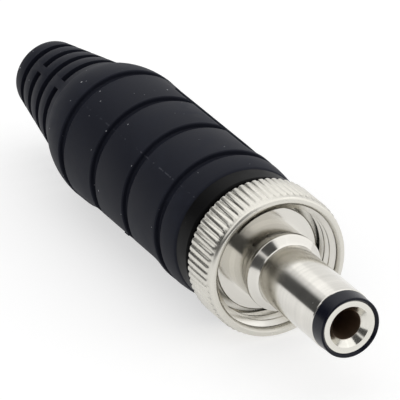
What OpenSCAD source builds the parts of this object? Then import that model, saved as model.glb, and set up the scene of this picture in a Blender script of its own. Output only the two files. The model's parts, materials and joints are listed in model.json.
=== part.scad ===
// Locking dc barrel plug: a 5.5 mm barrel with a 2.5 mm centre contact, a
// knurled lock ring on a thread of 7/16 inch, and a screw-on rubber handle.
// Its axis is the Y axis, with the tip towards -Y, and the origin is at the front
// edge of the barrel. Places along the axis are measured from the tip.

/* [Barrel] */
// Outer diameter of the barrel
barrel_d = 5.5; // [5:0.1:6]
// Wall of the barrel's tube
barrel_wall = 0.45; // [0.3:0.05:0.6]
// Straight length of the barrel behind the nose
barrel_straight = 9.25; // [8:0.05:12]
// Length of the cone from the barrel up to its flange
flange_cone = 0.65; // [0.4:0.05:1]
// Height of the flange above the barrel
flange_rise = 0.68; // [0.4:0.02:0.9]
// Thickness of the flange's rim
flange_rim = 0.45; // [0.3:0.05:0.8]
// Rounding at the foot of the cone
cone_round = 0.2; // [0.1:0.05:0.4]

/* [Nose] */
// Step from the barrel down to the nose, on the radius
nose_step = 0.06; // [0.04:0.01:0.15]
// How much the nose tapers to its front edge, on the radius
nose_taper = 0.04; // [0.02:0.01:0.06]
// Wall of the nose round the contact's head
nose_wall = 0.39; // [0.36:0.01:0.5]
// Length of the nose in front of the barrel
nose_length = 1.6; // [1:0.1:3]
// Width of the flat rim round the dished front
nose_rim = 0.16; // [0.16:0.01:0.24]
// Rounding of the nose's front edge
nose_round = 0.14; // [0.06:0.01:0.16]
// Depth of the dished front, down to the centre contact's face
nose_recess = 0.22; // [0.1:0.02:0.3]

/* [Centre contact] */
// Bore of the centre contact
contact_bore_d = 2.6; // [2.1:0.05:2.7]
// Wall of the contact's tube
contact_wall = 0.4; // [0.3:0.05:0.5]
// Depth of that bore from the contact's face
contact_bore_depth = 11; // [9:0.5:14]
// Length of the head
head_length = 1; // [0.8:0.1:1.3]
// Width of the flat face round the countersink
head_face = 0.48; // [0.3:0.01:0.5]
// Depth of the countersink
countersink_depth = 0.55; // [0.3:0.05:0.7]
// Diameter of the stud that carries the centre terminal
stud_d = 2; // [1.4:0.1:2.4]
// How far the stud's riveted end stands out from the stud
rivet_rim = 0.45; // [0.3:0.05:0.6]
// Thickness of the riveted end
rivet_length = 0.5; // [0.3:0.1:0.8]

/* [Plug body] */
// Outer diameter of the thread that holds the handle
handle_thread_d = 8; // [7.6:0.1:8.2]
// Step from that thread up to the seat that the lock ring turns on
seat_step = 0.2; // [0.1:0.05:0.3]
// Step from the barrel's flange down to the neck behind it, on the radius
neck_step = 0.12; // [0.04:0.02:0.3]
// Length of the neck from the flange to the collar
neck_length = 2.6; // [1:0.1:4]
// How far the collar that holds the lock ring stands out from the seat
collar_rim = 0.42; // [0.3:0.02:0.5]
// Thickness of the collar
collar_length = 1; // [0.7:0.1:1.4]
// Length of the handle's thread
handle_thread_length = 6.4; // [5:0.2:7]

/* [Lock ring] */
// Wall of the lock ring from its thread to the knurl's crests
ring_wall = 0.845; // [0.7:0.005:1.2]
// Length of the lock ring
ring_length = 4.1; // [3.8:0.1:4.6]
// Length of the smooth band in front of the knurl
band_length = 0.6; // [0.4:0.1:1]
// Rounding of the band's front edge
band_round = 0.3; // [0.1:0.05:0.35]
// Chamfer on the back edge of the knurl
knurl_chamfer = 0.18; // [0.1:0.02:0.3]
// Number of ridges in the knurl
knurl_count = 64; // [48:4:80]
// Depth of the knurl's grooves
knurl_depth = 0.2; // [0.1:0.02:0.25]
// Major diameter of the lock thread, 7/16 inch
lock_thread_d = 11.11; // [10.9:0.01:11.2]
// Width of the chamfer at the thread's mouth
mouth_chamfer = 0.23; // [0.1:0.01:0.3]
// Thickness of the lip behind the collar
lip_length = 1; // [0.8:0.1:1.2]
// Travel left for the lock ring between the collar and the bush
ring_float = 0.8; // [0.3:0.1:1.2]

/* [Bush] */
// Step from the handle's front edge down to the bush
bush_step = 0.05; // [0:0.05:0.4]
// Length of the bush
bush_length = 1.9; // [1.4:0.1:3]
// Rounding of the bush's front edge
bush_round = 0.25; // [0.1:0.05:0.4]

/* [Handle] */
// Largest diameter of the handle
handle_d = 12.6; // [12.2:0.1:12.6]
// How far the handle narrows to its front edge, on the radius
front_drop = 0.25; // [0.1:0.05:0.4]
// Length of the handle from its front to the end of its dome
grip_length = 26; // [25:0.5:32]
// Length of the dome at the back of the grip
dome_length = 4.9; // [4:0.1:5]
// How far the dome narrows to its back edge, on the radius
dome_drop = 0.92; // [0.7:0.02:1.1]
// Wall of the handle round the hollow that holds the terminals
handle_wall = 1.7; // [1.4:0.05:1.8]
// Length of the hollow behind the thread
cavity_length = 16; // [15.8:0.2:20]
// Rounding of the handle's front edge
handle_round = 0.45; // [0.2:0.05:0.6]
// Rounding of the dome's back edge
dome_round = 0.25; // [0.1:0.01:0.26]

/* [Grip grooves] */
// Number of grooves round the grip
groove_count = 4; // [2:1:4]
// Distance from the handle's front to the middle of the first groove
groove_start = 3.05; // [2.5:0.05:4]
// Distance between grooves
groove_pitch = 6.1; // [3:0.1:6.1]
// Width of a groove
groove_width = 1; // [0.5:0.1:1.4]
// Depth of a groove
groove_depth = 0.5; // [0.2:0.05:0.6]
// Rounding of the groove's edges
groove_round = 0.14; // [0.05:0.01:0.18]

/* [Flats] */
// Depth of each flat below the round surface
flat_depth = 0.3; // [0.2:0.05:0.45]
// Distance from the handle's front to the start of the flats
flat_start = 5.2; // [4.5:0.1:8]
// Length of the flats
flat_length = 14.7; // [8:0.1:15]
// Length over which a flat runs out to the round surface
flat_runout = 1.1; // [0.5:0.1:1.5]
// Width of the raised panel on one flat
panel_width = 2.6; // [2:0.1:3]
// Length of the raised panel
panel_length = 13.2; // [6:0.1:13.6]
// Height of the raised panel above its flat
panel_height = 0.2; // [0.1:0.02:0.3]
// Diameter of the moulding gate's mark on the other flat
gate_d = 0.5; // [0.3:0.1:0.8]
// Height of the gate's mark
gate_height = 0.12; // [0.05:0.01:0.2]
// Turn of the handle's parting line from straight up, towards -X
handle_turn = 43.9; // [0:0.1:90]

/* [Strain relief] */
// Length of the strain relief
relief_length = 11.1; // [10.6:0.1:14]
// Step from the dome's back edge down to the strain relief
relief_step = 0.2; // [0.2:0.05:0.4]
// Wall of the strain relief at its end
relief_end_wall = 0.9; // [0.7:0.05:1.1]
// Rounding of its end
relief_round = 0.65; // [0.3:0.05:0.65]
// Diameter of the cable hole
cable_d = 4.6; // [4:0.1:4.6]
// Number of slots
slot_count = 4; // [1:1:4]
// Distance from the dome to the middle of the first slot
slot_start = 1.55; // [1.2:0.05:1.8]
// Distance between slots
slot_pitch = 2.37; // [1.8:0.01:2.4]
// Width of a slot
slot_width = 0.95; // [0.5:0.05:1.1]
// Width of the bridges left in a slot
bridge_width = 0.7; // [0.6:0.1:1.5]

/* [Terminals] */
// Sheet thickness of the terminals
sheet = 0.5; // [0.3:0.05:0.6]
// Clearance of the terminals as they pass through the handle's thread, on the radius
terminal_gap = 0.2; // [0.1:0.05:0.3]
// Length of the sleeve terminal behind its ring
sleeve_arm_length = 14.5; // [12:0.1:15]
// Width of the sleeve terminal's arm
sleeve_arm_width = 3; // [2:0.1:3.4]
// Length of the cable clamp at the end of that arm
clamp_length = 4; // [3:0.1:5]
// Opening of the cable clamp
clamp_gap = 4.4; // [3:0.1:5]
// Diameter of the hole for the sleeve's wire
sleeve_wire_d = 1.4; // [0.8:0.1:1.8]
// Thickness of the insulating washer
washer_length = 1.2; // [0.8:0.1:1.6]
// Diameter of the centre terminal's ring
centre_terminal_d = 4.4; // [4:0.1:5]
// Length of the centre terminal behind its ring
centre_arm_length = 5; // [4:0.1:6]
// Width of the centre terminal's arm
centre_arm_width = 2; // [1.4:0.1:2.4]
// Diameter of the hole for the centre wire
centre_wire_d = 1; // [0.6:0.1:1.2]

/* [Fits] */
// Clearance between a turning piece and its seat, on the radius
turn_gap = 0.05; // [0.02:0.01:0.08]
// Clearance between faces that meet as a piece turns
face_gap = 0.05; // [0.02:0.01:0.1]
// Clearance of the handle's thread, on the radius
thread_gap = 0.05; // [0.02:0.01:0.08]
// Clearance between the insulating washer and the sleeve terminal's arm
washer_gap = 0.1; // [0.05:0.05:0.3]

/* [Hidden] */
$fn = 96;
// Steps in a rounded corner and in the dome, and a small overshoot for cuts
corner_steps = 5;
dome_steps = 10;
eps = 0.05;
// Exponent of the dome's curve
dome_power = 2.34;
// Share of a knurl ridge's pitch that its flat crest covers
crest_share = 0.4;
// Rounding of small turned edges
edge_round = 0.12;

// Places along the axis, from the tip
barrel_start = nose_length;
cone_start = barrel_start + barrel_straight;
flange_start = cone_start + flange_cone;
flange_end = flange_start + flange_rim;
collar_start = flange_end + neck_length;
collar_end = collar_start + collar_length;
lip_start = collar_end + face_gap;
ring_end = lip_start + lip_length;
ring_start = ring_end - ring_length;
bush_start = ring_end + ring_float;
handle_start = bush_start + bush_length;
body_end = handle_start + handle_thread_length;
washer_start = body_end + sheet;
centre_terminal_start = washer_start + washer_length;
rivet_start = centre_terminal_start + sheet;
relief_start = handle_start + grip_length;
total_length = relief_start + relief_length;
cavity_end = body_end + cavity_length;
dome_start = relief_start - dome_length;

panel_start = handle_start + flat_start + (flat_length - panel_length) / 2;
head_end = nose_recess + head_length;

// Diameters that follow from each other
flange_d = barrel_d + 2 * flange_rise;
neck_d = flange_d - 2 * neck_step;
barrel_bore_d = barrel_d - 2 * barrel_wall;
nose_d = barrel_d - 2 * nose_step;
head_d = nose_d - 2 * nose_wall;
countersink_d = head_d - 2 * head_face;
contact_tube_d = contact_bore_d + 2 * contact_wall;
rivet_d = stud_d + 2 * rivet_rim;
seat_d = handle_thread_d + 2 * seat_step;
collar_d = seat_d + 2 * collar_rim;
ring_d = lock_thread_d + 2 * ring_wall;
handle_front_d = handle_d - 2 * front_drop;
bush_d = handle_front_d - 2 * bush_step;
dome_d = handle_d - 2 * dome_drop;
flat_reach = handle_d / 2 - flat_depth;
cavity_d = handle_d - 2 * handle_wall;
relief_front_d = dome_d - 2 * relief_step;
relief_end_d = cable_d + 2 * relief_end_wall;
sleeve_terminal_d = handle_thread_d - 2 * terminal_gap;
washer_d = sleeve_terminal_d - 2 * sheet - 2 * washer_gap;
// The smooth band is a little larger than the knurl's roots
band_d = ring_d - 1.5 * knurl_depth;
// The dome's curve is drawn from the back of the last groove
dome_first = ceil((groove_middle(groove_count - 1) + groove_width - dome_start) / dome_length * dome_steps);

function unit(v) = v / norm(v);
function xy(p) = [p[0], p[1]];

// Points of an outline's corner b between a and c, rounded to radius r
function corner(a, b, c, r) =
    r == 0 ? [b] :
    let (
        to_a = unit(a - b),
        to_c = unit(c - b),
        half = acos(to_a * to_c) / 2,
        centre = b + unit(to_a + to_c) * r / sin(half),
        first = b + to_a * r / tan(half) - centre,
        last = b + to_c * r / tan(half) - centre
    )
    [for (i = [0 : corner_steps]) centre + r * unit(first * (corner_steps - i) + last * i)];

// An outline of [radius, place] points, or [radius, place, rounding] where a corner is round
function rounded(points) =
    let (n = len(points))
    [for (i = [0 : n - 1])
        each corner(xy(points[(i + n - 1) % n]), xy(points[i]), xy(points[(i + 1) % n]),
                    len(points[i]) == 3 ? points[i][2] : 0)];

// A turned solid
module turned(points) rotate_extrude() polygon(rounded(points));

// Local Z is the plug's axis from its tip
module on_axis() translate([0, -barrel_start, 0]) rotate([-90, 0, 0]) children();

// The same, with local +X on the side of the handle's parting line
module on_turned_axis() on_axis() rotate([0, 0, -90 - handle_turn]) children();

// Turned sleeve contact: a tube whose flange stops it against the body
module barrel() {
    color("silver") on_axis() turned([
        [barrel_bore_d / 2, barrel_start],
        [barrel_d / 2, barrel_start, edge_round],
        [barrel_d / 2, cone_start, cone_round],
        [flange_d / 2, flange_start, edge_round],
        [flange_d / 2, flange_end, edge_round],
        [barrel_d / 2, flange_end],
        [barrel_d / 2, body_end],
        [barrel_bore_d / 2, body_end]
    ]);
}

// Insulating nose and the tube behind it, moulded in one
module nose_insulator() {
    color("#15161a") on_axis() turned([
        [contact_tube_d / 2, head_end],
        [head_d / 2, head_end],
        [head_d / 2, nose_recess],
        [nose_d / 2 - nose_taper - nose_rim, 0],
        [nose_d / 2 - nose_taper, 0, nose_round],
        [nose_d / 2, barrel_start],
        [barrel_bore_d / 2, barrel_start],
        [barrel_bore_d / 2, washer_start],
        [contact_tube_d / 2, washer_start]
    ]);
}

// Centre contact: a blind tube with a countersunk mouth and a riveted stud
module centre_contact() {
    color("#c9c6bb") on_axis() turned([
        [0, nose_recess + contact_bore_depth],
        [contact_bore_d / 2, nose_recess + contact_bore_depth],
        [contact_bore_d / 2, nose_recess + countersink_depth],
        [countersink_d / 2, nose_recess],
        [head_d / 2, nose_recess],
        [head_d / 2, head_end],
        [contact_tube_d / 2, head_end],
        [contact_tube_d / 2, washer_start],
        [stud_d / 2, washer_start],
        [stud_d / 2, rivet_start],
        [rivet_d / 2, rivet_start],
        [rivet_d / 2, rivet_start + rivet_length, edge_round],
        [0, rivet_start + rivet_length]
    ]);
}

// Turned body: neck, collar, seat of the lock ring and thread of the handle
module plug_body() {
    color("silver") on_axis() turned([
        [barrel_d / 2, flange_end],
        [neck_d / 2, flange_end],
        [neck_d / 2, collar_start],
        [collar_d / 2, collar_start, edge_round],
        [collar_d / 2, collar_end],
        [seat_d / 2, collar_end],
        [seat_d / 2, handle_start],
        [handle_thread_d / 2, handle_start],
        [handle_thread_d / 2, body_end],
        [barrel_d / 2, body_end]
    ]);
}

// Outline of the knurl: flat crests with a groove between each pair
module knurl_outline() {
    pitch = 360 / knurl_count;
    polygon([for (i = [0 : knurl_count - 1], p = [
        [ring_d / 2, -crest_share / 2],
        [ring_d / 2, crest_share / 2],
        [ring_d / 2 - knurl_depth, 0.5]])
        p[0] * [cos((i + p[1]) * pitch), sin((i + p[1]) * pitch)]]);
}

// Coupling ring: smooth band, knurl, thread and a lip that the collar holds
module lock_ring() {
    color("#d3d0c6") on_axis() difference() {
        intersection() {
            translate([0, 0, ring_start]) linear_extrude(ring_length) knurl_outline();
            turned([
                [0, ring_start],
                [band_d / 2, ring_start, band_round],
                [band_d / 2, ring_start + band_length],
                [ring_d / 2 + eps, ring_start + band_length + knurl_depth],
                [ring_d / 2 + eps, ring_end - knurl_chamfer],
                [ring_d / 2 + eps - 2 * knurl_chamfer, ring_end],
                [0, ring_end]
            ]);
        }
        turned([
            [0, ring_start - eps],
            [lock_thread_d / 2 + mouth_chamfer + eps, ring_start - eps],
            [lock_thread_d / 2, ring_start + mouth_chamfer],
            [lock_thread_d / 2, lip_start],
            [seat_d / 2 + turn_gap, lip_start],
            [seat_d / 2 + turn_gap, ring_end + eps],
            [0, ring_end + eps]
        ]);
    }
}

// Hard plastic bush pressed on the body behind the lock ring
module front_bush() {
    color("#0c0c0e") on_axis() turned([
        [seat_d / 2, bush_start],
        [bush_d / 2, bush_start, bush_round],
        [bush_d / 2, handle_start],
        [seat_d / 2, handle_start]
    ]);
}

// Middle of a groove, counted from the front
function groove_middle(i) = handle_start + groove_start + i * groove_pitch;

// Radius of the grip at a place. It swells up to the first groove and ends in a dome
function grip_radius(place) =
    place > dome_start
    ? dome_d / 2 + (handle_d - dome_d) / 2 * (1 - pow((place - dome_start) / dome_length, dome_power))
    : place < groove_middle(0)
    ? handle_d / 2 - (handle_d - handle_front_d) / 2 * pow(1 - (place - handle_start) / groove_start, 2)
    : handle_d / 2;

// Four corners of one groove in the handle's outline
function groove_points(middle) = let (
        front = middle - groove_width / 2,
        back = middle + groove_width / 2,
        floor = handle_d / 2 - groove_depth
    ) [
        [grip_radius(front), front, groove_round],
        [floor, front, groove_round],
        [floor, back, groove_round],
        [grip_radius(back), back, groove_round]
    ];

// Handle's outside before its flats and slots
module handle_outside() {
    turned([
        [0, handle_start],
        [handle_front_d / 2, handle_start, handle_round],
        [grip_radius(handle_start + groove_start / 3), handle_start + groove_start / 3],
        [grip_radius(handle_start + groove_start / 2), handle_start + groove_start / 2],
        each [for (i = [0 : groove_count - 1]) each groove_points(groove_middle(i))],
        each [for (i = [dome_first : dome_steps - 1])
            let (place = dome_start + dome_length * i / dome_steps) [grip_radius(place), place]],
        [dome_d / 2, relief_start, dome_round],
        [relief_front_d / 2, relief_start],
        [relief_end_d / 2, total_length, relief_round],
        [0, total_length]
    ]);
}

// Handle's inside: thread, hollow and cable hole
module handle_inside() {
    bore = handle_thread_d / 2 + thread_gap;
    turned([
        [0, handle_start - eps],
        [bore, handle_start - eps],
        [bore, body_end],
        [cavity_d / 2, body_end, edge_round],
        [cavity_d / 2, cavity_end],
        [cable_d / 2, relief_start],
        [cable_d / 2, total_length + eps],
        [0, total_length + eps]
    ]);
}

// What a flat takes off the +Y side, with a ramp at each end
module flat_cut() {
    first = handle_start + flat_start;
    last = first + flat_length;
    ramp = 3 * flat_runout;
    rotate([90, 0, 90]) linear_extrude(handle_d, center = true) polygon([
        [flat_reach, first],
        [flat_reach + 3 * flat_depth, first - ramp],
        [flat_reach + 3 * flat_depth, last + ramp],
        [flat_reach, last]
    ]);
}

// One slot of the strain relief, all round but for its two bridges on +X and -X
module slot_cut(turn) {
    rotate([0, 0, turn]) difference() {
        cylinder(h = slot_width, d = relief_front_d + 1, center = true);
        cube([relief_front_d + 2, bridge_width, slot_width + eps], center = true);
    }
}

// Rubber handle with its strain relief, one moulding
module handle() {
    color("#2b2d33") on_turned_axis() difference() {
        union() {
            difference() {
                handle_outside();
                flat_cut();
                mirror([0, 1, 0]) flat_cut();
            }
            translate([-panel_width / 2, flat_reach - 2 * groove_depth, panel_start])
                cube([panel_width, 2 * groove_depth + panel_height, panel_length]);
            translate([0, -flat_reach + eps, panel_start + panel_length / 2]) rotate([90, 0, 0])
                cylinder(h = gate_height + eps, d = gate_d);
        }
        handle_inside();
        for (i = [0 : slot_count - 1])
            translate([0, 0, relief_start + slot_start + i * slot_pitch]) slot_cut(90 * (i % 2));
    }
}

// Stamped sleeve terminal: ring, arm and open cable clamp
module sleeve_terminal() {
    outer = sleeve_terminal_d / 2;
    arm_end = body_end + sheet + sleeve_arm_length;
    color("#c9c6bb") on_axis() {
        difference() {
            union() {
                translate([0, 0, body_end]) cylinder(h = sheet, r = outer);
                intersection() {
                    translate([0, 0, body_end]) difference() {
                        cylinder(h = sheet + sleeve_arm_length, r = outer);
                        translate([0, 0, -eps])
                            cylinder(h = sheet + sleeve_arm_length + 2 * eps, r = outer - sheet);
                    }
                    union() {
                        translate([-sleeve_arm_width / 2, 0, body_end])
                            cube([sleeve_arm_width, outer, sheet + sleeve_arm_length]);
                        difference() {
                            translate([-outer, -outer, arm_end - clamp_length])
                                cube([2 * outer, 2 * outer, clamp_length]);
                            translate([-clamp_gap / 2, -outer - eps, arm_end - clamp_length - eps])
                                cube([clamp_gap, outer, clamp_length + 2 * eps]);
                        }
                    }
                }
            }
            translate([0, 0, body_end - eps]) cylinder(h = sheet + 2 * eps, d = barrel_bore_d);
            translate([0, 0, body_end + sheet + sleeve_arm_length / 3]) rotate([-90, 0, 0])
                cylinder(h = outer + eps, d = sleeve_wire_d);
        }
    }
}

// Insulating washer between the two terminals
module insulating_washer() {
    color("#7a4a2c") on_axis() turned([
        [stud_d / 2, washer_start],
        [washer_d / 2, washer_start],
        [washer_d / 2, centre_terminal_start],
        [stud_d / 2, centre_terminal_start]
    ]);
}

// Stamped centre terminal: ring and solder arm
module centre_terminal() {
    outer = centre_terminal_d / 2;
    color("#c9c6bb") on_axis() difference() {
        union() {
            translate([0, 0, centre_terminal_start]) cylinder(h = sheet, r = outer);
            translate([-centre_arm_width / 2, -outer, centre_terminal_start])
                cube([centre_arm_width, sheet, sheet + centre_arm_length]);
        }
        translate([0, 0, centre_terminal_start - eps]) cylinder(h = sheet + 2 * eps, d = stud_d);
        translate([0, 0, centre_terminal_start + sheet + centre_arm_length * 2 / 3]) rotate([90, 0, 0])
            cylinder(h = outer + eps, d = centre_wire_d);
    }
}

barrel();
nose_insulator();
centre_contact();
plug_body();
lock_ring();
front_bush();
handle();
sleeve_terminal();
insulating_washer();
centre_terminal();
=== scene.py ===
import json
import math
import bmesh
import bpy
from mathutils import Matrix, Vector


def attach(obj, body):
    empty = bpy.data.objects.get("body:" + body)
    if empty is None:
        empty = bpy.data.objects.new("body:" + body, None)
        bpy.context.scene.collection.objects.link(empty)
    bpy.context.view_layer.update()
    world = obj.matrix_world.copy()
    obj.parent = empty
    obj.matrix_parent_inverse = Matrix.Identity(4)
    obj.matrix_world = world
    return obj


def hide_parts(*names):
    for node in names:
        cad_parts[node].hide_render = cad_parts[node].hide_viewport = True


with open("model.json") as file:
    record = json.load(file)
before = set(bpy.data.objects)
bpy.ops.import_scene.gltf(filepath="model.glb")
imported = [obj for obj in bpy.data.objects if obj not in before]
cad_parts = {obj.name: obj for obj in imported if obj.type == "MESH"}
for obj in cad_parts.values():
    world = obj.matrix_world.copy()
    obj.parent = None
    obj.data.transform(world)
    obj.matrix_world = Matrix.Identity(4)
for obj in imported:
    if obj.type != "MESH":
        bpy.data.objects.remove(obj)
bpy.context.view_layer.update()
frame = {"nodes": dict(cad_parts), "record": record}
mm = 0.001
barrelFront = 1.6   # mm from the tip, where y is 0
partingTurn = 43.9  # degrees of the handle's parting line from straight up, towards -X
cornerSteps = 4     # edges in a rounded corner
print("frame loaded:", ", ".join(sorted(frame["nodes"])))


def along(place):
    # the y of a place that is given in mm from the tip
    return (place - barrelFront) * mm


def choose(piece):
    if bpy.context.object and bpy.context.object.mode != "OBJECT":
        bpy.ops.object.mode_set(mode="OBJECT")
    bpy.ops.object.select_all(action="DESELECT")
    piece.select_set(True)
    bpy.context.view_layer.objects.active = piece


def edit(piece):
    choose(piece)
    bpy.ops.object.mode_set(mode="EDIT")


def done(piece):
    bpy.ops.object.mode_set(mode="OBJECT")
    choose(piece)
    bpy.ops.object.transform_apply(location=True, rotation=True, scale=True)


def pick(piece, test, part="VERT"):
    # in edit mode, selects the verts, edges or faces that pass the test, and counts them
    bpy.ops.mesh.select_mode(type=part)
    bpy.ops.mesh.select_all(action="DESELECT")
    mesh = bmesh.from_edit_mesh(piece.data)
    parts = {"VERT": mesh.verts, "EDGE": mesh.edges, "FACE": mesh.faces}[part]
    found = [item for item in parts if test(item)]
    for item in found:
        item.select_set(True)
    mesh.select_flush_mode()
    bmesh.update_edit_mesh(piece.data)
    return len(found)


def takeNew(name):
    # the object that an operator has just added, under its name
    piece = bpy.context.object
    piece.name = name
    piece.data.name = name
    return piece


def mergeVerts(distance):
    # in edit mode, joins verts that are closer than a distance in mm
    bpy.ops.mesh.select_all(action="SELECT")
    bpy.ops.mesh.remove_doubles(threshold=distance * mm)


def faceOutward():
    # in edit mode, turns every face to the outside
    bpy.ops.mesh.select_all(action="SELECT")
    bpy.ops.mesh.normals_make_consistent(inside=False)


def middle(item):
    # middle of an edge or face
    total = Vector((0, 0, 0))
    for vert in item.verts:
        total += vert.co
    return total / len(item.verts)


def applyModifier(piece, kind, **settings):
    choose(piece)
    modifier = piece.modifiers.new(kind.lower(), kind)
    for name, value in settings.items():
        setattr(modifier, name, value)
    bpy.ops.object.modifier_apply(modifier=modifier.name)


def smoothByAngle(piece, degrees):
    choose(piece)
    bpy.ops.object.shade_smooth_by_angle(angle=math.radians(degrees))


def rounded(points):
    # corners of a closed outline, each (place, radius), or (place, radius, rounding) if it is round
    outline = []
    count = len(points)
    for index, point in enumerate(points):
        corner = Vector(point[:2])
        if len(point) == 2:
            outline.append(tuple(corner))
            continue
        toLast = (Vector(points[index - 1][:2]) - corner).normalized()
        toNext = (Vector(points[(index + 1) % count][:2]) - corner).normalized()
        half = toLast.angle(toNext) / 2
        centre = corner + (toLast + toNext).normalized() * point[2] / math.sin(half)
        first = corner + toLast * point[2] / math.tan(half) - centre
        last = corner + toNext * point[2] / math.tan(half) - centre
        for step in range(cornerSteps + 1):
            ray = first.lerp(last, step / cornerSteps).normalized() * point[2]
            outline.append(tuple(centre + ray))
    return outline


def turned(name, outline, segments):
    # one ring of edges, extruded from corner to corner of the outline and closed on itself
    place, radius = outline[0]
    bpy.ops.object.select_all(action="DESELECT")
    bpy.ops.mesh.primitive_circle_add(vertices=segments, radius=radius * mm,
                                      location=(0, along(place), 0), rotation=(math.pi / 2, 0, 0))
    piece = takeNew(name)
    bpy.ops.object.transform_apply(location=True, rotation=True, scale=True)
    edit(piece)
    bpy.ops.mesh.select_all(action="SELECT")
    for nextPlace, nextRadius in outline[1:] + outline[:1]:
        bpy.ops.mesh.extrude_region_move(
            TRANSFORM_OT_translate={"value": (0, (nextPlace - place) * mm, 0)})
        bpy.ops.transform.resize(value=(nextRadius / radius, 1, nextRadius / radius),
                                 center_override=(0, along(nextPlace), 0))
        place, radius = nextPlace, nextRadius
    mergeVerts(0.002)
    faceOutward()
    return piece


class Graph:
    # a node tree with short ways to add and join nodes
    def __init__(self, tree):
        self.tree = tree

    def add(self, kind, **settings):
        node = self.tree.nodes.new(kind)
        for name, value in settings.items():
            setattr(node, name, value)
        return node

    def join(self, source, target):
        self.tree.links.new(source, target)

    def math(self, operation, first, second=0.5, third=0.0, clamp=False):
        node = self.add("ShaderNodeMath", operation=operation, use_clamp=clamp)
        for index, value in enumerate((first, second, third)):
            self.feed(node.inputs[index], value)
        return node.outputs[0]

    def feed(self, target, value):
        if isinstance(value, bpy.types.NodeSocket):
            self.join(value, target)
        else:
            target.default_value = value

    def mixColor(self, factor, first, second):
        node = self.add("ShaderNodeMix", data_type="RGBA")
        self.feed(node.inputs[0], factor)
        self.feed(node.inputs[6], first)
        self.feed(node.inputs[7], second)
        return node.outputs[2]

    def remap(self, value, low, high, toLow=0.0, toHigh=1.0, smooth=False):
        node = self.add("ShaderNodeMapRange", clamp=True)
        if smooth:
            node.interpolation_type = "SMOOTHSTEP"
        self.feed(node.inputs[0], value)
        node.inputs[1].default_value = low
        node.inputs[2].default_value = high
        node.inputs[3].default_value = toLow
        node.inputs[4].default_value = toHigh
        return node.outputs[0]

    def split(self, vector):
        node = self.add("ShaderNodeSeparateXYZ")
        self.join(vector, node.inputs[0])
        return node.outputs

    def combine(self, kind, *values):
        node = self.add(kind)
        for target, value in zip(node.inputs, values):
            self.feed(target, value)
        return node.outputs[0]

    def noise(self, vector, scale, detail=2.0):
        node = self.add("ShaderNodeTexNoise")
        self.join(vector, node.inputs["Vector"])
        self.feed(node.inputs["Scale"], scale)
        node.inputs["Detail"].default_value = detail
        return node.outputs[0]

    def objectPlace(self):
        return self.add("ShaderNodeTexCoord").outputs["Object"]


def newGroup(name, inputs, outputs):
    tree = bpy.data.node_groups.new(name, "ShaderNodeTree")
    for label, kind, default in inputs:
        made = tree.interface.new_socket(name=label, in_out="INPUT", socket_type=kind)
        if default is not None:
            made.default_value = default
    for label, kind in outputs:
        tree.interface.new_socket(name=label, in_out="OUTPUT", socket_type=kind)
    graph = Graph(tree)
    return graph, graph.add("NodeGroupInput").outputs, graph.add("NodeGroupOutput").inputs


ringMarks = {"waverScale": 400.0, "detail": 3.0, "streakShrink": 0.12, "streakDetail": 2.0}


def turnedMarksGroup():
    # fine rings that a lathe tool leaves, round the plug's axis on walls and faces alike
    look = ringMarks
    graph, given, result = newGroup(
        "turnedMarks",
        [("Rings per mm", "NodeSocketFloat", 14.0), ("Waver", "NodeSocketFloat", 0.02)],
        [("Height", "NodeSocketFloat"), ("Streaks", "NodeSocketFloat")])
    place = graph.objectPlace()
    parts = graph.split(place)
    length = graph.add("ShaderNodeVectorMath", operation="LENGTH")
    graph.join(graph.combine("ShaderNodeCombineXYZ", parts[0], 0.0, parts[2]), length.inputs[0])
    waver = graph.math("SUBTRACT", graph.noise(place, look["waverScale"]), 0.5)
    shift = graph.math("MULTIPLY", waver, given["Waver"])
    perMetre = graph.math("MULTIPLY", given["Rings per mm"], 1000.0)
    across = graph.math("ADD", graph.math("MULTIPLY", length.outputs["Value"], perMetre), shift)
    down = graph.math("ADD", graph.math("MULTIPLY", parts[1], perMetre), shift)
    pair = graph.combine("ShaderNodeCombineXYZ", across, down)
    graph.join(graph.noise(pair, 1.0, look["detail"]), result["Height"])
    wide = graph.add("ShaderNodeVectorMath", operation="SCALE")
    graph.join(pair, wide.inputs[0])
    wide.inputs["Scale"].default_value = look["streakShrink"]
    graph.join(graph.noise(wide.outputs[0], 1.0, look["streakDetail"]), result["Streaks"])
    return graph.tree


smudgeDetail = 4.0
leastSpeck = 0.3  # added to every speck's random size, so that none vanishes


def handlingGroup():
    # smudges from fingers, and fine dust with a few larger specks
    graph, given, result = newGroup(
        "handlingMarks",
        [("Smudge size", "NodeSocketFloat", 300.0), ("Specks per mm", "NodeSocketFloat", 0.5),
         ("Speck size", "NodeSocketFloat", 0.06), ("Speck share", "NodeSocketFloat", 0.25)],
        [("Smudges", "NodeSocketFloat"), ("Dust", "NodeSocketFloat")])
    place = graph.objectPlace()
    graph.join(graph.noise(place, given["Smudge size"], smudgeDetail), result["Smudges"])
    cells = graph.add("ShaderNodeTexVoronoi")
    graph.join(place, cells.inputs["Vector"])
    graph.join(graph.math("MULTIPLY", given["Specks per mm"], 1000.0), cells.inputs["Scale"])
    pale = graph.add("ShaderNodeSeparateColor")
    graph.join(cells.outputs["Color"], pale.inputs[0])
    shown = graph.math("LESS_THAN", pale.outputs[0], given["Speck share"])
    size = graph.math("MULTIPLY", given["Speck size"],
                      graph.math("ADD", pale.outputs[1], leastSpeck))
    dot = graph.math("LESS_THAN", cells.outputs["Distance"], size)
    graph.join(graph.math("MULTIPLY", shown, dot), result["Dust"])
    return graph.tree


def newMaterial(name, color, **settings):
    material = bpy.data.materials.new(name)
    material.use_nodes = True
    graph = Graph(material.node_tree)
    shader = material.node_tree.nodes["Principled BSDF"]
    shader.inputs["Base Color"].default_value = (*color, 1)
    for key, value in settings.items():
        shader.inputs[key.replace("_", " ")].default_value = value
    return material, graph, shader


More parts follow.
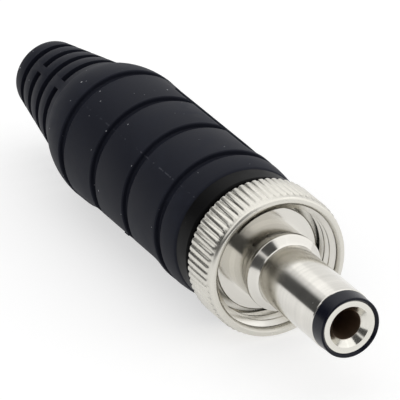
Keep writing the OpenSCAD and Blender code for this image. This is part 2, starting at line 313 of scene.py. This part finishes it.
def useGroup(graph, tree, **values):
    node = graph.add("ShaderNodeGroup", node_tree=tree)
    for key, value in values.items():
        node.inputs[key.replace("_", " ")].default_value = value
    return node.outputs


def bump(graph, shader, height, depth):
    # depth in mm
    node = graph.add("ShaderNodeBump")
    node.inputs["Distance"].default_value = depth * mm
    graph.join(height, node.inputs["Height"])
    graph.join(node.outputs[0], shader.inputs["Normal"])


turnedMarks = turnedMarksGroup()
handlingMarks = handlingGroup()

nickelLook = {
    "polished": {"color": (0.74, 0.72, 0.67), "roughness": 0.10, "ringDepth": 0.0006, "rings": 16},
    "contact": {"color": (0.76, 0.74, 0.68), "roughness": 0.12, "ringDepth": 0.0006, "rings": 18,
                # the colour inside the hole is a painted shade: dark brown for the shadow deep in
                # the contact's hole
                "bore": (0.40, 0.29, 0.21), "boreRough": 0.36,
                "boreRadius": 1.34, "boreStart": 0.70, "boreFade": 0.15},
    "satin": {"color": (0.70, 0.68, 0.62), "roughness": 0.24, "ringDepth": 0.0010, "rings": 12},
    "tinned": {"color": (0.62, 0.61, 0.58), "roughness": 0.34, "ringDepth": 0.0008, "rings": 6},
}
nickelWear = {
    "marks": {"Smudge_size": 350.0, "Specks_per_mm": 0.9, "Speck_size": 0.05, "Speck_share": 0.12},
    "dull": 0.82, "streaks": (0.3, 0.7), "streakShare": 0.6,
    "smudges": (0.35, 0.75), "smudgeRough": 0.10, "dustRough": 0.3,
}


def inBore(graph, look):
    # 1 inside the contact's hole, where its nickel gets a painted shade of dark brown, 0 on the
    # face and its countersink
    parts = graph.split(graph.objectPlace())
    squares = [graph.math("POWER", graph.math("ABSOLUTE", parts[axis]), 2.0) for axis in (0, 2)]
    radius = graph.math("SQRT", graph.math("ADD", *squares))
    deep = graph.remap(parts[1], along(look["boreStart"]),
                       along(look["boreStart"] + look["boreFade"]))
    return graph.math("MULTIPLY", deep,
                      graph.math("LESS_THAN", radius, look["boreRadius"] * mm))


def nickel(name, look):
    wear = nickelWear
    material, graph, shader = newMaterial(name, look["color"], Metallic=1.0)
    marks = useGroup(graph, turnedMarks, Rings_per_mm=float(look["rings"]))
    hands = useGroup(graph, handlingMarks, **wear["marks"])
    dull = [value * wear["dull"] for value in look["color"]]
    tone = graph.math("MULTIPLY", graph.remap(marks["Streaks"], *wear["streaks"]),
                      wear["streakShare"])
    base = graph.mixColor(tone, (*look["color"], 1), (*dull, 1))
    rough = graph.math("MULTIPLY_ADD", graph.remap(hands["Smudges"], *wear["smudges"]),
                       wear["smudgeRough"], look["roughness"])
    rough = graph.math("MULTIPLY_ADD", hands["Dust"], wear["dustRough"], rough)
    # painted shade: inside the hole the nickel is mixed to dark brown, and made rougher
    if "bore" in look:
        shadedBoreWall = inBore(graph, look)
        base = graph.mixColor(shadedBoreWall, base, (*look["bore"], 1))
        rough = graph.math("MULTIPLY_ADD", shadedBoreWall, look["boreRough"], rough)
    graph.join(base, shader.inputs["Base Color"])
    graph.join(rough, shader.inputs["Roughness"])
    bump(graph, shader, marks["Height"], look["ringDepth"])
    return material


handleLook = {
    "color": (0.0092, 0.0106, 0.0185), "dusty": (0.022, 0.025, 0.038),
    "roughness": 0.58, "shine": 0.14,
    "coarse": {"Smudge_size": 160.0, "Specks_per_mm": 0.62, "Speck_size": 0.060,
               "Speck_share": 0.22},
    "fine": {"Smudge_size": 900.0, "Specks_per_mm": 1.7, "Speck_size": 0.10,
             "Speck_share": 0.18},
    "hazeCoarse": (0.42, 0.72), "hazeFine": (0.30, 0.70), "hazeShare": 0.55, "hazeRough": 0.14,
    "speck": (0.50, 0.51, 0.54), "fineSpecks": 0.45, "speckHeight": 0.8,
    "seam": (0.060, 0.063, 0.078), "seamEnds": (29.0, 43.0), "seamWidth": 0.10,  # mm
    "seamScale": 2600.0, "seamBreaks": (0.54, 0.64), "seamHeight": 1.6,
    "grainScale": 5200.0, "grainDetail": 3.0, "grainHeight": 0.35,
    "bumpDepth": 0.012,                                                          # mm
}


def partingSeam(graph, place):
    # the parting line of the mould: a fine broken ridge on the side of the joint
    look = handleLook
    turn = graph.add("ShaderNodeMapping")
    graph.join(place, turn.inputs["Vector"])
    turn.inputs["Rotation"].default_value = (0, math.radians(partingTurn), 0)
    parts = graph.split(turn.outputs[0])
    aside = graph.math("ABSOLUTE", parts[0])
    line = graph.remap(aside, 0.0, look["seamWidth"] * mm, 1.0, 0.0)
    broken = graph.remap(graph.noise(place, look["seamScale"]), *look["seamBreaks"])
    fade = graph.remap(parts[1], *(along(end) for end in look["seamEnds"]), 1.0, 0.0)
    return graph.math("MULTIPLY", graph.math("MULTIPLY", line, broken), fade)


def handleRubber():
    look = handleLook
    material, graph, shader = newMaterial("handleRubber", look["color"],
                                          Specular_IOR_Level=look["shine"])
    coarse = useGroup(graph, handlingMarks, **look["coarse"])
    fine = useGroup(graph, handlingMarks, **look["fine"])
    place = graph.objectPlace()
    seam = partingSeam(graph, place)
    grain = graph.noise(place, look["grainScale"], look["grainDetail"])
    haze = graph.math("MULTIPLY", graph.remap(coarse["Smudges"], *look["hazeCoarse"]),
                      graph.remap(fine["Smudges"], *look["hazeFine"]))
    tone = graph.mixColor(graph.math("MULTIPLY", haze, look["hazeShare"]),
                          (*look["color"], 1), (*look["dusty"], 1))
    tone = graph.mixColor(seam, tone, (*look["seam"], 1))
    specks = graph.math("MAXIMUM", coarse["Dust"],
                        graph.math("MULTIPLY", fine["Dust"], look["fineSpecks"]))
    graph.join(graph.mixColor(specks, tone, (*look["speck"], 1)), shader.inputs["Base Color"])
    graph.join(graph.math("MULTIPLY_ADD", haze, look["hazeRough"], look["roughness"]),
               shader.inputs["Roughness"])
    height = graph.math("ADD", graph.math("MULTIPLY", grain, look["grainHeight"]),
                        graph.math("MULTIPLY", seam, look["seamHeight"]))
    height = graph.math("MULTIPLY_ADD", specks, look["speckHeight"], height)
    bump(graph, shader, height, look["bumpDepth"])
    return material


plasticLook = {
    "nose": {"color": (0.0040, 0.0048, 0.0125), "roughness": 0.24, "shine": 0.18},
    "bush": {"color": (0.0018, 0.0018, 0.0021), "roughness": 0.42, "shine": 0.08},
    "washer": {"color": (0.21, 0.075, 0.028), "roughness": 0.55, "shine": 0.40},
}


plasticWear = {
    "marks": {"Smudge_size": 500.0, "Specks_per_mm": 1.1, "Speck_size": 0.05, "Speck_share": 0.10},
    "paler": 1.3, "lighter": 0.05, "dustShare": 0.7,  # a speck's color from the plastic's own
    "smudges": (0.4, 0.75), "smudgeRough": 0.10,
    "bumpDepth": 0.004,                               # mm
}


def plastic(name, look):
    wear = plasticWear
    material, graph, shader = newMaterial(name, look["color"], Specular_IOR_Level=look["shine"])
    hands = useGroup(graph, handlingMarks, **wear["marks"])
    pale = [min(1, value * wear["paler"] + wear["lighter"]) for value in look["color"]]
    dust = graph.math("MULTIPLY", hands["Dust"], wear["dustShare"])
    graph.join(graph.mixColor(dust, (*look["color"], 1), (*pale, 1)), shader.inputs["Base Color"])
    graph.join(graph.math("MULTIPLY_ADD", graph.remap(hands["Smudges"], *wear["smudges"]),
                          wear["smudgeRough"], look["roughness"]), shader.inputs["Roughness"])
    bump(graph, shader, hands["Smudges"], wear["bumpDepth"])
    return material


materials = {
    "nickel_polished": nickel("nickelPolished", nickelLook["polished"]),
    "nickel_contact": nickel("nickelContact", nickelLook["contact"]),
    "nickel_satin": nickel("nickelSatin", nickelLook["satin"]),
    "tinned_brass": nickel("tinnedBrass", nickelLook["tinned"]),
    "nose_plastic": plastic("nosePlastic", plasticLook["nose"]),
    "bush_plastic": plastic("bushPlastic", plasticLook["bush"]),
    "washer_laminate": plastic("washerLaminate", plasticLook["washer"]),
    "handle_rubber": handleRubber(),
}
print("materials:", len(materials))


def dress(piece, slot):
    piece.data.materials.clear()
    piece.data.materials.append(materials[slot])


# every node that keeps its solid gets its finish
for part in frame["record"]["subparts"]:
    node = frame["nodes"][part["node"]]
    for holder in node.material_slots:
        holder.material = materials[part["material_slot"]]
print("solids dressed")


lockRing = {
    "start": 12.5, "end": 16.6,          # mm from the tip
    "bandRadius": 6.25, "bandLength": 0.6, "bandRound": 0.3,
    "crestRadius": 6.4, "knurlRise": 0.2, "backChamfer": 0.18,
    "ridges": 64, "stepsPerRidge": 6, "knurlInset": 0.1,
    "grooveDepth": 0.15, "sideShare": 0.3,
    "threadRadius": 5.555, "mouthChamfer": 0.23, "shoulder": 15.6, "lipRadius": 4.25,
    "edgeBevel": 0.035, "bevelAbove": 38, "smoothBelow": 34,  # mm and degrees
}


def makeLockRing():
    ring = lockRing
    knurlStart = ring["start"] + ring["bandLength"]
    outline = rounded([
        (ring["start"], ring["threadRadius"] + ring["mouthChamfer"]),
        (ring["start"], ring["bandRadius"], ring["bandRound"]),
        (knurlStart, ring["bandRadius"]),
        (knurlStart + ring["knurlRise"], ring["crestRadius"]),
        (ring["end"] - ring["backChamfer"], ring["crestRadius"]),
        (ring["end"], ring["crestRadius"] - ring["backChamfer"]),
        (ring["end"], ring["lipRadius"]),
        (ring["shoulder"], ring["lipRadius"]),
        (ring["shoulder"], ring["threadRadius"]),
        (ring["start"] + ring["mouthChamfer"], ring["threadRadius"]),
    ])
    piece = turned("lockRingShell", outline, ring["ridges"] * ring["stepsPerRidge"])
    # the groove of every ridge is pushed in: deepest in the middle, a third as deep beside it
    step = 2 * math.pi / (ring["ridges"] * ring["stepsPerRidge"])
    outside = (ring["crestRadius"] - ring["backChamfer"] - 0.02) * mm
    beside = (1, ring["stepsPerRidge"] - 1)

    def inGroove(vert, which):
        index = round(math.atan2(vert.co.z, vert.co.x) / step) % ring["stepsPerRidge"]
        return (index in which and math.hypot(vert.co.x, vert.co.z) > outside
                and vert.co.y > along(knurlStart + ring["knurlInset"]))

    for which, share in (((0,), 1.0), (beside, ring["sideShare"])):
        pick(piece, lambda vert: inGroove(vert, which))
        scale = 1 - share * ring["grooveDepth"] / ring["crestRadius"]
        bpy.ops.transform.resize(value=(scale, 1, scale), center_override=(0, 0, 0))
    done(piece)
    applyModifier(piece, "BEVEL", width=ring["edgeBevel"] * mm, segments=2,
                  limit_method="ANGLE", angle_limit=math.radians(ring["bevelAbove"]))
    smoothByAngle(piece, ring["smoothBelow"])
    dress(piece, "nickel_satin")
    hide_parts("lock_ring")
    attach(piece, "lock_ring")


lockThread = {
    "pitch": 0.907, "firstRidge": 12.96, "turns": 3,  # 28 turns to the inch, right-handed
    "rootRadius": 5.60, "crestRadius": 5.14, "rootWidth": 0.80, "crestWidth": 0.17,
    "steps": 120, "smoothBelow": 25,
    "endTurn": -133.9,  # degrees from +X to where the thread starts and ends
}


def makeLockThread():
    thread = lockThread
    bpy.ops.object.select_all(action="DESELECT")
    bpy.ops.mesh.primitive_plane_add(size=1, location=(0, 0, 0))
    piece = takeNew("lockThread")
    edit(piece)
    # the plane becomes the ridge's section: wide at the root, narrow at the crest. Verts that
    # haven't moved yet are still half a metre out.
    for side in (-1, 1):
        for end, radius, width in ((1, thread["rootRadius"], thread["rootWidth"]),
                                   (-1, thread["crestRadius"], thread["crestWidth"])):
            pick(piece, lambda vert: (vert.co.x * end > 0.4 and vert.co.y * side > 0))
            spot = Vector((radius * mm, along(thread["firstRidge"]) + side * width * mm / 2, 0))
            bpy.ops.transform.translate(value=spot - Vector((end * 0.5, side * 0.5, 0)))
    bpy.ops.mesh.select_all(action="SELECT")
    bpy.ops.mesh.delete(type="ONLY_FACE")
    bpy.ops.object.mode_set(mode="OBJECT")
    applyModifier(piece, "SCREW", axis="Y", angle=2 * math.pi, screw_offset=thread["pitch"] * mm,
                  iterations=thread["turns"], steps=thread["steps"], render_steps=thread["steps"],
                  use_smooth_shade=True, use_merge_vertices=False)
    edit(piece)
    mergeVerts(0.001)
    pick(piece, lambda edge: edge.is_boundary, "EDGE")
    bpy.ops.mesh.fill_holes(sides=0)
    faceOutward()
    bpy.ops.object.mode_set(mode="OBJECT")
    piece.rotation_euler = (0, math.radians(thread["endTurn"]), 0)
    done(piece)
    smoothByAngle(piece, thread["smoothBelow"])
    dress(piece, "nickel_polished")
    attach(piece, "lock_ring")


makeLockRing()
makeLockThread()
print("lock ring and its thread made")


handle = {
    "start": 19.3, "end": 56.4,                         # mm from the tip
    "radius": 6.3, "frontRadius": 6.05, "frontRound": 0.45, "frontShares": (0.33, 0.5),
    "grooves": (22.35, 28.45, 34.55, 40.65),
    "grooveWidth": 1.0, "grooveDepth": 0.5, "grooveRound": 0.14,
    "domeEnd": 45.3, "domeLength": 4.9, "domeRadius": 5.38, "domePower": 2.34,
    "domeRound": 0.25, "domeShares": (0.3, 0.42, 0.54, 0.66, 0.76, 0.85, 0.93),
    "reliefRadius": 5.18, "reliefEndRadius": 3.2, "reliefRound": 0.65,
    "slots": (46.85, 49.22, 51.59, 53.96), "slotWidth": 0.95, "slotReach": 5.1,
    "bridgeSteps": 2,                                   # segments to each side of its middle
    "threadRadius": 4.05, "threadEnd": 25.7, "hollowRadius": 4.6, "hollowEnd": 41.7,
    "cableRadius": 2.3,
    "flatReach": 6.0, "flatStart": 24.5, "flatMiddle": 31.5, "flatEnd": 39.2,
    "flatRunout": 1.1, "rampShare": 0.7,
    "segments": 144, "edgeBevel": 0.07, "bevelAbove": 50, "smoothBelow": 40,
}


def gripRadius(place):
    # swells up to the first groove, and ends in a dome
    own = handle
    domeStart = own["domeEnd"] - own["domeLength"]
    if place > domeStart:
        drop = ((place - domeStart) / own["domeLength"]) ** own["domePower"]
        return own["domeRadius"] + (own["radius"] - own["domeRadius"]) * (1 - drop)
    if place < own["grooves"][0]:
        rise = 1 - (place - own["start"]) / (own["grooves"][0] - own["start"])
        return own["radius"] - (own["radius"] - own["frontRadius"]) * rise ** 2
    return own["radius"]


def handleOutline():
    own = handle
    front = own["start"]
    reach = own["grooves"][0] - front
    points = [(front, own["threadRadius"]), (front, own["frontRadius"], own["frontRound"])]
    points += [(front + reach * share, gripRadius(front + reach * share))
               for share in own["frontShares"]]
    half = own["grooveWidth"] / 2
    floor = own["radius"] - own["grooveDepth"]
    runout = own["flatRunout"]
    turn = own["grooveRound"]
    # rings behind each groove, where the flats begin, pass and end
    extra = ((own["flatStart"] - runout, own["flatStart"]), (own["flatMiddle"],),
             (own["flatEnd"], own["flatEnd"] + runout * own["rampShare"]), ())
    for groove, places in zip(own["grooves"], extra):
        points += [(groove - half, gripRadius(groove - half), turn), (groove - half, floor, turn),
                   (groove + half, floor, turn), (groove + half, gripRadius(groove + half), turn)]
        points += [(place, own["radius"]) for place in places]
    for share in own["domeShares"]:
        place = own["domeEnd"] - own["domeLength"] * (1 - share)
        points.append((place, gripRadius(place)))
    points.append((own["domeEnd"], own["domeRadius"], own["domeRound"]))
    points.append((own["domeEnd"], own["reliefRadius"]))

    def cone(place):
        share = (place - own["domeEnd"]) / (own["end"] - own["domeEnd"])
        return own["reliefRadius"] + (own["reliefEndRadius"] - own["reliefRadius"]) * share

    edges = [slot + side * own["slotWidth"] / 2 for slot in own["slots"] for side in (-1, 1)]
    points += [(place, cone(place)) for place in edges]
    points.append((own["end"], own["reliefEndRadius"], own["reliefRound"]))
    points.append((own["end"], own["cableRadius"]))
    points += [(place, own["cableRadius"]) for place in reversed(edges)]
    points += [(own["domeEnd"], own["cableRadius"]), (own["hollowEnd"], own["hollowRadius"]),
               (own["threadEnd"], own["hollowRadius"]), (own["threadEnd"], own["threadRadius"])]
    return rounded(points), edges


def flattenSides(piece):
    # each ring of verts over a flat is scaled onto it, and the ramps at its ends onto a slope
    own = handle
    places = sorted({round(vert.co.y / mm, 4) for vert in bmesh.from_edit_mesh(piece.data).verts})
    for y in places:
        place = y + barrelFront
        beyond = max(own["flatStart"] - place, place - own["flatEnd"], 0) / own["flatRunout"]
        if beyond >= 1:
            continue
        limit = own["flatReach"] + (own["radius"] - own["flatReach"]) * beyond
        for side in (-1, 1):
            found = pick(piece, lambda vert: abs(vert.co.y / mm - y) < 0.002
                         and vert.co.x * side > limit * mm)
            if found:
                bpy.ops.transform.resize(value=(0, 1, 1),
                                         center_override=(side * limit * mm, 0, 0))


def cutSlots(piece, edges):
    # windows between the rings of the strain relief, with a bridge left on two opposite sides
    own = handle
    step = math.radians(360 / own["segments"])
    slack = 0.01 * mm
    for index in range(len(own["slots"])):
        low, high = along(edges[2 * index]), along(edges[2 * index + 1])
        acrossX = index % 2 == 1  # these slots have their bridges on +X and -X

        def fromBridge(spot):
            angle = math.atan2(spot.z, spot.x) if acrossX else math.atan2(spot.x, spot.z)
            return min(abs(angle), math.pi - abs(angle))

        def inWindow(face):
            spot = middle(face)
            return (low < spot.y < high
                    and max(vert.co.y for vert in face.verts) < high + slack
                    and fromBridge(spot) > (own["bridgeSteps"] - 0.4) * step
                    and math.hypot(spot.x, spot.z) < own["slotReach"] * mm)

        pick(piece, inWindow, "FACE")
        bpy.ops.mesh.delete(type="FACE")
        for side in (-1, 1):
            def onRim(edge):
                spot = middle(edge)
                return (edge.is_boundary and low - slack < spot.y < high + slack
                        and (spot.z if acrossX else spot.x) * side > 0)

            pick(piece, onRim, "EDGE")
            bpy.ops.mesh.bridge_edge_loops()
    faceOutward()


def turnToSeam(piece):
    # made with the parting line straight up, and turned to where it lies
    piece.rotation_euler = (0, -math.radians(partingTurn), 0)
    done(piece)


def makeHandle():
    outline, edges = handleOutline()
    piece = turned("handleShell", outline, handle["segments"])
    flattenSides(piece)
    cutSlots(piece, edges)
    bpy.ops.object.mode_set(mode="OBJECT")
    applyModifier(piece, "BEVEL", width=handle["edgeBevel"] * mm, segments=2,
                  limit_method="ANGLE", angle_limit=math.radians(handle["bevelAbove"]))
    edit(piece)
    mergeVerts(0.001)
    bpy.ops.object.mode_set(mode="OBJECT")
    smoothByAngle(piece, handle["smoothBelow"])
    turnToSeam(piece)
    dress(piece, "handle_rubber")
    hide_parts("handle")
    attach(piece, "handle")


panel = {
    "start": 25.25, "end": 38.45, "width": 2.6, "top": 6.2, "foot": 5.5,
    "corner": 0.3, "edge": 0.09, "smoothBelow": 35,
}
gateMark = {
    "place": 31.85, "diameter": 0.5, "top": 6.12, "foot": 5.9, "sides": 20,
    "rim": 0.08, "dip": 0.03, "edge": 0.03, "edgeFrom": 6.08, "smoothBelow": 40,
}


def makePanel():
    # the raised plain panel on one flat
    bpy.ops.object.select_all(action="DESELECT")
    bpy.ops.mesh.primitive_cube_add(size=1, location=(0, 0, 0))
    piece = takeNew("handlePanel")
    piece.scale = ((panel["top"] - panel["foot"]) * mm, (panel["end"] - panel["start"]) * mm,
                   panel["width"] * mm)
    piece.location = ((panel["top"] + panel["foot"]) / 2 * mm,
                      (along(panel["start"]) + along(panel["end"])) / 2, 0)
    bpy.ops.object.transform_apply(location=True, rotation=True, scale=True)
    edit(piece)
    pick(piece, lambda edge: abs((edge.verts[0].co - edge.verts[1].co).normalized().x) > 0.9,
         "EDGE")
    bpy.ops.mesh.bevel(offset=panel["corner"] * mm, segments=4, affect="EDGES")
    pick(piece, lambda face: face.normal.x > 0.9, "FACE")
    bpy.ops.mesh.bevel(offset=panel["edge"] * mm, segments=3, affect="EDGES")
    bpy.ops.object.mode_set(mode="OBJECT")
    smoothByAngle(piece, panel["smoothBelow"])
    turnToSeam(piece)
    dress(piece, "handle_rubber")
    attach(piece, "handle")


def makeGateMark():
    # what the moulding gate leaves on the other flat
    bpy.ops.object.select_all(action="DESELECT")
    height = (gateMark["top"] - gateMark["foot"]) * mm
    bpy.ops.mesh.primitive_cylinder_add(
        vertices=gateMark["sides"], radius=gateMark["diameter"] / 2 * mm, depth=height,
        location=(-(gateMark["foot"] * mm + height / 2), along(gateMark["place"]), 0),
        rotation=(0, math.pi / 2, 0))
    piece = takeNew("gateMark")
    bpy.ops.object.transform_apply(location=True, rotation=True, scale=True)
    edit(piece)
    pick(piece, lambda face: face.normal.x < -0.9, "FACE")
    bpy.ops.mesh.inset(thickness=gateMark["rim"] * mm)
    bpy.ops.transform.translate(value=(gateMark["dip"] * mm, 0, 0))
    pick(piece, lambda edge: (abs(edge.calc_face_angle(0)) > 1.0
                              and middle(edge).x < -gateMark["edgeFrom"] * mm), "EDGE")
    bpy.ops.mesh.bevel(offset=gateMark["edge"] * mm, segments=2, affect="EDGES")
    bpy.ops.object.mode_set(mode="OBJECT")
    smoothByAngle(piece, gateMark["smoothBelow"])
    turnToSeam(piece)
    dress(piece, "handle_rubber")
    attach(piece, "handle")


makeHandle()
makePanel()
makeGateMark()
print("handle, panel and gate mark made")


studio = {
    "floorHeight": -6.4,      # mm, where the lock ring lies
    "floorSize": 8.0,         # m
    "floorColor": (0.58, 0.58, 0.58),
    "skyStrength": 0.62,      # light that reaches matte surfaces from all round
    "floorLift": 0.58,        # makes the card white to the camera and in reflections
    "bandDark": 0.08,         # the gap between the table and the softbox, in reflections
    "bandLow": (0.03, 0.05),  # where the gap begins, and over how much it fades in
    "bandHigh": (0.54, 0.10, 0.04),  # where it ends, and the fade below and above that
    "bandSide": (0.02, 0.22),        # it ends here towards +X, where the side softbox stands
    "patchAhead": (-0.30, -0.58, 0.76), "patchEdge": (0.955, 0.972),  # dark stand above the gap
}
lamps = {
    "topSoftbox": {"place": (0.10, 0.15, 0.75), "size": (1.3, 1.3), "power": 1.6},
    "sideSoftbox": {"place": (0.75, -0.25, 0.45), "size": (0.9, 0.9), "power": 0.7},
}
lampTarget = (0, 0.02, 0)


def makeFloor():
    bpy.ops.object.select_all(action="DESELECT")
    bpy.ops.mesh.primitive_plane_add(size=studio["floorSize"],
                                     location=(0, 0, studio["floorHeight"] * mm))
    floor = bpy.context.object
    floor.name = "studioFloor"
    material, graph, shader = newMaterial("floorCard", studio["floorColor"], Roughness=1.0)
    shader.inputs["Specular IOR Level"].default_value = 0.0
    rays = graph.add("ShaderNodeLightPath")
    seen = graph.math("MAXIMUM", rays.outputs["Is Camera Ray"], rays.outputs["Is Glossy Ray"])
    lift = graph.math("MULTIPLY", seen, studio["floorLift"])
    graph.join(graph.combine("ShaderNodeCombineColor", lift, lift, lift),
               shader.inputs["Emission Color"])
    shader.inputs["Emission Strength"].default_value = 1.0
    floor.data.materials.append(material)


def makeWorld():
    world = bpy.data.worlds.new("studioWorld")
    bpy.context.scene.world = world
    world.use_nodes = True
    graph = Graph(world.node_tree)
    back = world.node_tree.nodes["Background"]
    ahead = graph.add("ShaderNodeTexCoord").outputs["Generated"]
    parts = graph.split(ahead)
    begin, fadeIn = studio["bandLow"]
    end, fadeBelow, fadeAbove = studio["bandHigh"]
    low = graph.remap(parts[2], begin, begin + fadeIn, smooth=True)
    high = graph.remap(parts[2], end - fadeBelow, end + fadeAbove, smooth=True)
    side = graph.remap(parts[0], *studio["bandSide"], 1.0, 0.0, smooth=True)
    band = graph.math("MULTIPLY", graph.math("SUBTRACT", low, high, clamp=True), side)
    toward = graph.add("ShaderNodeVectorMath", operation="DOT_PRODUCT")
    graph.join(ahead, toward.inputs[0])
    toward.inputs[1].default_value = Vector(studio["patchAhead"]).normalized()
    patch = graph.remap(toward.outputs["Value"], *studio["patchEdge"], smooth=True)
    gloss = graph.math("MULTIPLY_ADD", graph.math("MAXIMUM", band, patch),
                       studio["bandDark"] - 1.0, 1.0)
    rays = graph.add("ShaderNodeLightPath")
    seen = graph.math("MAXIMUM", rays.outputs["Is Camera Ray"],
                      rays.outputs["Is Transmission Ray"])
    matte = graph.math("MULTIPLY", graph.math("SUBTRACT", 1.0, rays.outputs["Is Glossy Ray"]),
                       studio["skyStrength"])
    shine = graph.math("MULTIPLY", rays.outputs["Is Glossy Ray"], gloss)
    level = graph.math("MAXIMUM", graph.math("ADD", matte, shine), seen)
    graph.join(graph.combine("ShaderNodeCombineColor", level, level, level),
               back.inputs["Color"])
    back.inputs["Strength"].default_value = 1.0


def makeLamp(name, own):
    light = bpy.data.lights.new(name, "AREA")
    light.shape = "RECTANGLE"
    light.size, light.size_y = own["size"]
    light.energy = own["power"]
    lamp = bpy.data.objects.new(name, light)
    bpy.context.scene.collection.objects.link(lamp)
    lamp.location = own["place"]
    toward = Vector(lampTarget) - Vector(own["place"])
    lamp.rotation_euler = toward.to_track_quat("-Z", "Y").to_euler()


view = {
    "azimuth": -27.0, "elevation": 25.3,     # degrees
    "aside": -12.16, "above": 10.35, "away": 483.45,  # mm from the tip, along the picture's axes
    "lens": 540.0, "sensor": 36,             # mm
    "clip": (0.01, 20),                      # m
}


def makeCamera():
    azimuth, elevation = math.radians(view["azimuth"]), math.radians(view["elevation"])
    right = Vector((math.cos(azimuth), math.sin(azimuth), 0))
    ahead = Vector((-math.sin(azimuth) * math.cos(elevation),
                    math.cos(azimuth) * math.cos(elevation), -math.sin(elevation)))
    up = right.cross(ahead)
    tip = Vector((0, along(0), 0))
    camera = bpy.data.cameras.new("camera")
    camera.lens = view["lens"]
    camera.sensor_width = view["sensor"]
    camera.clip_start, camera.clip_end = view["clip"]
    holder = bpy.data.objects.new("camera", camera)
    bpy.context.scene.collection.objects.link(holder)
    holder.location = tip + (right * view["aside"] + up * view["above"] - ahead * view["away"]) * mm
    holder.rotation_euler = ahead.to_track_quat("-Z", "Y").to_euler()
    bpy.context.scene.camera = holder


makeFloor()
makeWorld()
for name, own in lamps.items():
    makeLamp(name, own)
makeCamera()
bpy.context.scene.view_settings.view_transform = "Standard"
print("floor, light and camera set")
